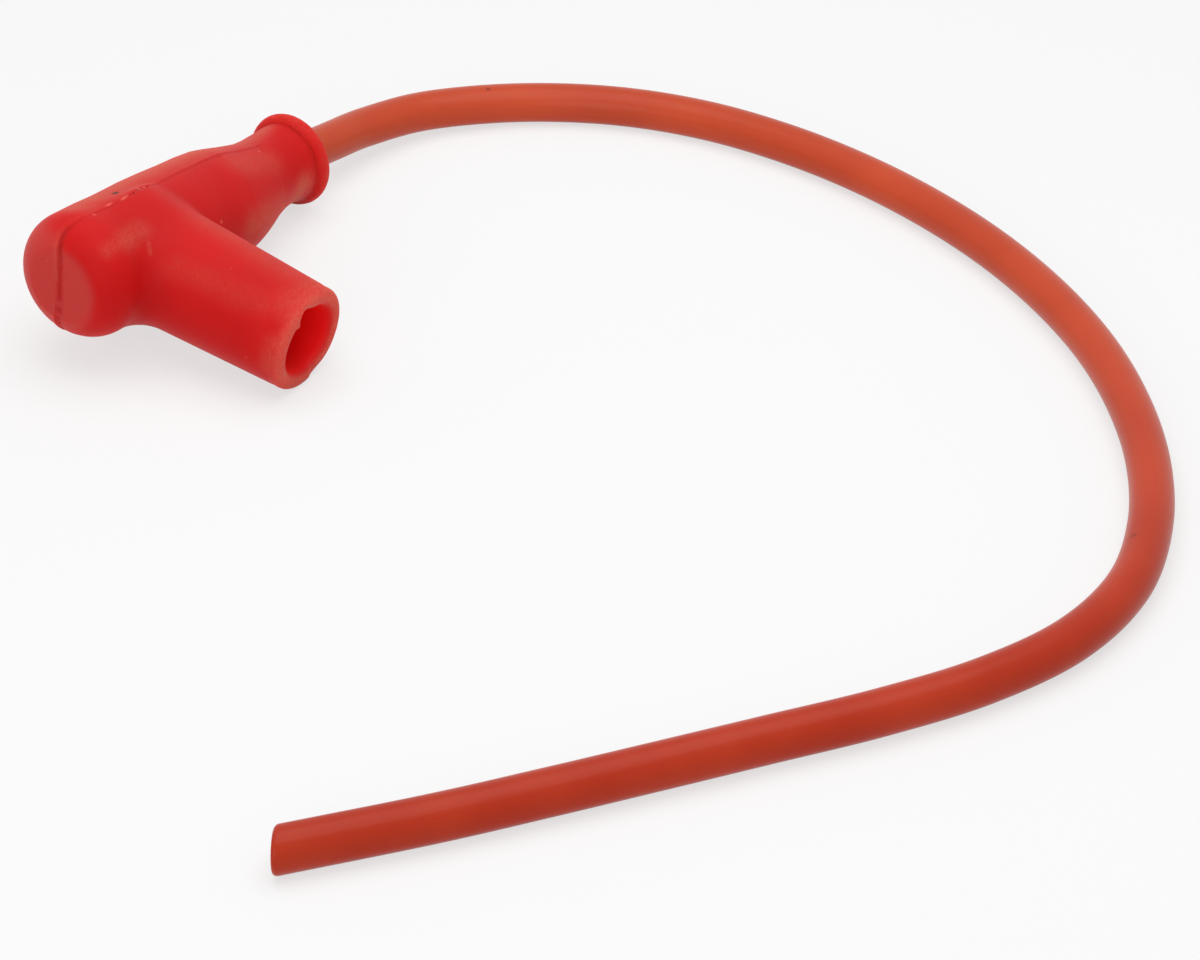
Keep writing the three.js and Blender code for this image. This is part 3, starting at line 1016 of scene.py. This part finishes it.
def make_boot_material(skin):
    material, make, shader = new_material("red_silicone")
    place = make.add("ShaderNodeTexCoord").outputs["Object"]
    texture = use_group(make, skin, {"Place": place, "Speck Amount": 0.3})
    tone = ramp(make, texture.outputs["Tone"], 0.3, 0.7)
    worn = blend_colour(make, tone, srgb(195, 9, 12), srgb(203, 17, 18))
    # Painted light: the walls inside the bore are painted a brighter red, standing in for light glowing in
    # the bore
    red = blend_colour(make, painted(make, "inside"), worn, srgb(254, 28, 30))
    torn = make.add("ShaderNodeTexNoise", {"Vector": place, "Scale": 2600.0, "Detail": 4.0})
    patchy = make.add("ShaderNodeTexNoise", {"Vector": place, "Scale": 170.0, "Detail": 2.0})
    powder = make.math("ADD", 0.45, make.math("MULTIPLY", 0.55, ramp(make, torn.outputs[0], 0.38, 0.62)))
    worn_off = make.math("ADD", 0.6, make.math("MULTIPLY", 0.35, ramp(make, patchy.outputs[0], 0.3, 0.7)))
    ragged = make.math("MULTIPLY", make.math("MULTIPLY", painted(make, "dust_and_painted_light"), powder), worn_off)
    # Paler where the film lies: dull film, with painted reflection on the knob's end
    film_and_light_paled = blend_colour(make, make.math("MULTIPLY", painted(make, "film_and_painted_light"), 0.3), red, srgb(200, 100, 92))
    # Pale dust, with painted sheen, painted light and a painted highlight in some places
    dust_and_light_paled = blend_colour(make, ragged, film_and_light_paled, srgb(208, 118, 96))
    # Painted shade: darker red along the creases of the grooves
    crease_shaded = blend_colour(make, make.math("MULTIPLY", painted(make, "crease"), 0.6), dust_and_light_paled, srgb(158, 8, 12))
    pale = make.math("MAXIMUM", painted(make, "lint"), make.math("MULTIPLY", texture.outputs["Specks"], 0.4))
    specked = blend_colour(make, make.math("MULTIPLY", pale, 0.7), crease_shaded, srgb(240, 120, 105))
    flecked = blend_colour(make, painted(make, "fleck"), specked, srgb(40, 8, 8))
    make.tree.links.new(flecked, shader.inputs["Base Color"])
    rough = make.math("ADD", 0.44, make.math("MULTIPLY", texture.outputs["Tone"], 0.16))
    dull = make.math("ADD", rough, make.math("MULTIPLY", ragged, 0.3))
    make.tree.links.new(dull, shader.inputs["Roughness"])
    shader.inputs["Specular IOR Level"].default_value = 0.13
    shader.inputs["Sheen Weight"].default_value = 0.06
    shader.inputs["Sheen Roughness"].default_value = 0.45
    shader.inputs["Sheen Tint"].default_value = srgb(255, 190, 165)
    shader.inputs["Subsurface Weight"].default_value = 0.85
    shader.inputs["Subsurface Radius"].default_value = (1.0, 0.1, 0.08)
    shader.inputs["Subsurface Scale"].default_value = 6.0 * MM
    raise_skin(make, shader, texture.outputs["Height"], 0.25, 0.00012)
    return material


# Dark scuffs on the lead, as centre, reach, stretch and strength
LEAD_SCUFFS = [
    ((0.0737, -0.0017, 0.0072), 0.0010, (1.0, 1.0, 1.0), 0.6),
    ((0.0024, -0.1580, 0.0065), 0.0014, (1.0, 1.0, 1.0), 0.5),
]


def make_lead_material(skin, spot):
    material, make, shader = new_material("orange_silicone")
    coordinates = make.add("ShaderNodeTexCoord")
    place = coordinates.outputs["Object"]
    texture = use_group(make, skin, {"Place": place, "Cloud Size": 45.0, "Speck Amount": 0.12})
    tone = ramp(make, texture.outputs["Tone"], 0.3, 0.7)
    # Painted light and shade: a deeper, shaded orange on the near stretch and a paler, lit orange on the far
    # part
    far = painted(make, "film_and_painted_light")
    shaded_orange = blend_colour(make, tone, srgb(171, 44, 17), srgb(183, 54, 25))
    lit_orange = blend_colour(make, tone, srgb(184, 52, 17), srgb(196, 62, 26))
    orange = blend_colour(make, far, shaded_orange, lit_orange)
    drawn = make.add("ShaderNodeMapping", {"Vector": coordinates.outputs["UV"], "Scale": (9.0, 0.25, 1.0)})
    lines = make.add("ShaderNodeTexNoise", {"Vector": drawn.outputs[0], "Scale": 3.0, "Detail": 3.0})
    streaked = blend_colour(make, make.math("MULTIPLY", lines.outputs[0], 0.25), orange, srgb(166, 40, 14))
    # Painted light: a pale tint on the far part of the lead
    film_and_light_paled = blend_colour(make, make.math("MULTIPLY", far, 0.07), streaked, srgb(236, 168, 128))
    scuffed = blend_colour(make, spots(make, spot, place, LEAD_SCUFFS), film_and_light_paled, srgb(112, 30, 14))
    make.tree.links.new(scuffed, shader.inputs["Base Color"])
    rough = make.math("ADD", 0.24, make.math("MULTIPLY", lines.outputs[0], 0.14))
    make.tree.links.new(rough, shader.inputs["Roughness"])
    shader.inputs["Specular IOR Level"].default_value = 0.16
    shader.inputs["Sheen Weight"].default_value = 0.02
    shader.inputs["Sheen Roughness"].default_value = 0.4
    shader.inputs["Sheen Tint"].default_value = srgb(255, 215, 200)
    raise_skin(make, shader, make.math("ADD", texture.outputs["Height"], lines.outputs[0]), 0.2, 0.0001)
    return material


def make_metal_material(name, light, dark, roughness, brush):
    """Worn drawn metal with fine lines and dull patches."""
    material, make, shader = new_material(name)
    place = make.add("ShaderNodeTexCoord").outputs["Object"]
    stretched = make.add("ShaderNodeMapping", {"Vector": place, "Scale": brush})
    lines = make.add("ShaderNodeTexNoise", {"Vector": stretched.outputs[0], "Scale": 900.0, "Detail": 4.0})
    dull = make.add("ShaderNodeTexNoise", {"Vector": place, "Scale": 400.0, "Detail": 3.0})
    colour = blend_colour(make, ramp(make, dull.outputs[0], 0.4, 0.7), light, dark)
    make.tree.links.new(colour, shader.inputs["Base Color"])
    rough = make.math("ADD", roughness, make.math("MULTIPLY", dull.outputs[0], 0.2))
    make.tree.links.new(rough, shader.inputs["Roughness"])
    shader.inputs["Metallic"].default_value = 1.0
    raise_skin(make, shader, lines.outputs[0], 0.15, 0.00005)
    return material


# Table and light

FLOOR_SIZE = 6.0
FLOOR_GLOW = 0.65
FLOOR_SHADE = 0.82
WORLD_LIGHT = 0.5

# Softboxes, as name, place, aim, size across and power in watts
SOFTBOXES = [
    ("key_softbox", (0.0, -0.08, 0.5), (0.0, -0.06, 0.0), 0.6, 1.75),
    ("side_softbox", (-0.75, -0.2, 0.4), (0.0, 0.0, 0.01), 0.5, 1.3),
]
WHITE = (1.0, 1.0, 1.0, 1.0)


def seen_directly(make):
    """1 for what the camera sees, straight or through gloss and glass."""
    light = make.add("ShaderNodeLightPath")
    glossy = make.math("MAXIMUM", light.outputs["Is Camera Ray"], light.outputs["Is Glossy Ray"])
    return make.math("MAXIMUM", glossy, light.outputs["Is Transmission Ray"])


def make_floor():
    material = bpy.data.materials.new("white_table")
    material.use_nodes = True
    material.node_tree.nodes.clear()
    make = Tree(material.node_tree)
    paper = make.add("ShaderNodeBsdfDiffuse", {"Color": (FLOOR_SHADE, FLOOR_SHADE, FLOOR_SHADE, 1.0)})
    glow = make.add("ShaderNodeEmission", {"Color": WHITE, "Strength": 1.0})
    share = make.math("MULTIPLY", seen_directly(make), FLOOR_GLOW)
    mixed = make.add("ShaderNodeMixShader", {0: share, 1: paper.outputs[0], 2: glow.outputs[0]})
    make.add("ShaderNodeOutputMaterial", {"Surface": mixed.outputs[0]})
    mesh = bpy.data.meshes.new("table")
    reach = FLOOR_SIZE / 2
    mesh.from_pydata([(-reach, -reach, 0), (reach, -reach, 0), (reach, reach, 0), (-reach, reach, 0)], [],
                     [(0, 1, 2, 3)])
    floor = new_object("table", mesh, material)


def make_world():
    world = bpy.data.worlds.new("studio")
    world.use_nodes = True
    world.node_tree.nodes.clear()
    make = Tree(world.node_tree)
    soft = make.add("ShaderNodeBackground", {"Color": WHITE, "Strength": WORLD_LIGHT})
    white = make.add("ShaderNodeBackground", {"Color": WHITE, "Strength": 1.0})
    mixed = make.add("ShaderNodeMixShader", {0: seen_directly(make), 1: soft.outputs[0], 2: white.outputs[0]})
    make.add("ShaderNodeOutputWorld", {"Surface": mixed.outputs[0]})
    bpy.context.scene.world = world


def add_lamp(name, place, aim, size, power):
    data = bpy.data.lights.new(name, "AREA")
    data.shape = "DISK"
    data.size = size
    data.energy = power
    lamp = bpy.data.objects.new(name, data)
    lamp.location = place
    lamp.rotation_euler = (Vector(aim) - Vector(place)).to_track_quat("-Z", "Y").to_euler()
    bpy.context.scene.collection.objects.link(lamp)


def light_studio():
    make_world()
    for softbox in SOFTBOXES:
        add_lamp(*softbox)
    bpy.context.scene.view_settings.view_transform = "Standard"


def dress_part():
    skin = skin_group()
    spot = spot_group()
    boot = make_boot(make_boot_material(skin))
    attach(boot, "root")
    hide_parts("boot")

    wire = make_metal_material("tinned_copper", srgb(205, 180, 160), srgb(165, 125, 100), 0.3, (1, 1, 1))
    strands = make_strands(wire)
    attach(strands, "root")
    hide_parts("lead_conductor")

    lead, path = make_lead(make_lead_material(skin, spot))
    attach(lead, "root")
    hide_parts("lead_jacket")

    steel = make_metal_material("plated_steel", srgb(200, 198, 192), srgb(165, 160, 150), 0.3, (1, 6, 1))
    for name in ("plug_terminal", "snap_ring"):
        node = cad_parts[name]
        node.data.materials.clear()
        node.data.materials.append(steel)


make_floor()
light_studio()
dress_part()
